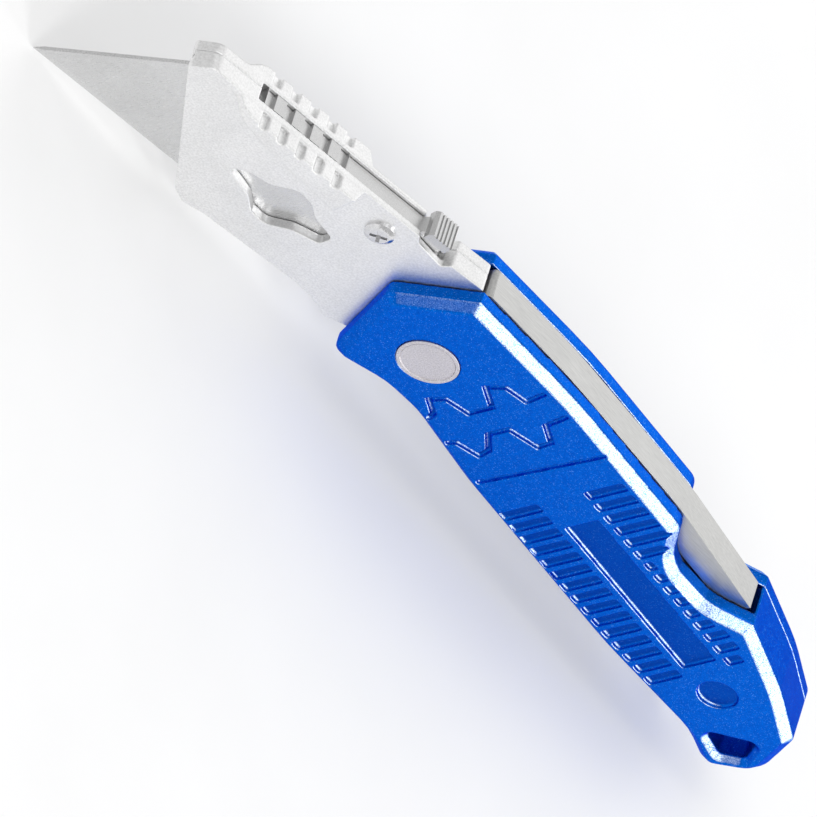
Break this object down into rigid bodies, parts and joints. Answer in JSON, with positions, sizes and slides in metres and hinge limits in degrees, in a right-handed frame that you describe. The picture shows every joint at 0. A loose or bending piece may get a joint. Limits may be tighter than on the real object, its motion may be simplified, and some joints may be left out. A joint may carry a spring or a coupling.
{
  "type": "folding utility knife",
  "caption": "Lock-back folding utility knife with a quick-change trapezoid blade carrier, chamfered metal handle shells, belt clip and lanyard opening.",
  "frame": {"origin": "centre of the pivot's outer disc, in the plane of the handle's show face", "axes": "+X from the pivot towards the tail of the handle, +Y across the handle towards the belt clip, +Z towards the spine; the knife is open with its cutting edge down"},
  "size_m": [0.159, 0.0138, 0.0341],
  "materials": {
    "blue_shell": "satin metallic powder coat",
    "cast_carrier": "satin bead-blasted casting",
    "satin_steel": "satin",
    "blade_steel": "fine ground",
    "bright_steel": "polished",
    "lever_steel": "dull",
    "spring_steel": "blued",
    "bronze": "plain"
  },
  "bodies": {
    "handle": {"front_shell": "blue_shell", "rear_shell": "blue_shell", "pivot_post": "satin_steel", "pivot_washer": "bright_steel", "pivot_screw": "bright_steel", "thrust_washers": "bronze", "lock_bar_bush": "satin_steel", "lock_spring": "spring_steel", "shell_screws": "bright_steel", "clip_plate": "satin_steel", "clip_screw": "bright_steel"},
    "carrier": {"carrier_front": "cast_carrier", "carrier_rear": "cast_carrier", "carrier_screw": "bright_steel", "carrier_rivet": "bright_steel", "lever_pin": "satin_steel", "lever_spring": "spring_steel"},
    "lock": {"lock_bar": "satin_steel"},
    "lever": {"release_lever": "lever_steel"},
    "blade": {"blade": "blade_steel"},
    "clip": {"clip_tongue": "satin_steel"}
  },
  "joints": [
    {"name": "fold", "type": "hinge", "parent": "handle", "child": "carrier", "pos_m": [0, 0.00565, 0], "axis": [0, -1, 0], "range_deg": [0, 163]},
    {"name": "lock_rock", "type": "hinge", "parent": "handle", "child": "lock", "pos_m": [0.0275, 0.00565, 0.009], "axis": [0, 1, 0], "range_deg": [0, 4], "stiffness_Nm_per_rad": 2, "springref_deg": -2.86, "deforming": ["lock_spring"]},
    {"name": "lever_rock", "type": "hinge", "parent": "carrier", "child": "lever", "pos_m": [-0.02999, 0.00565, 0.00832], "axis": [0, -1, 0], "range_deg": [-4, 0], "stiffness_Nm_per_rad": 0.6, "springref_deg": 4.58, "deforming": ["lever_spring"]},
    {"name": "blade_slide", "type": "slide", "parent": "carrier", "child": "blade", "axis": [0.982, 0, 0.1891], "range_m": [-0.034, 0]},
    {"name": "clip_flex", "type": "hinge", "parent": "handle", "child": "clip", "pos_m": [0.0149, 0.0129, 0], "axis": [0, 0, 1], "range_deg": [0, 3], "stiffness_Nm_per_rad": 8, "springref_deg": -0.57}
  ]
}
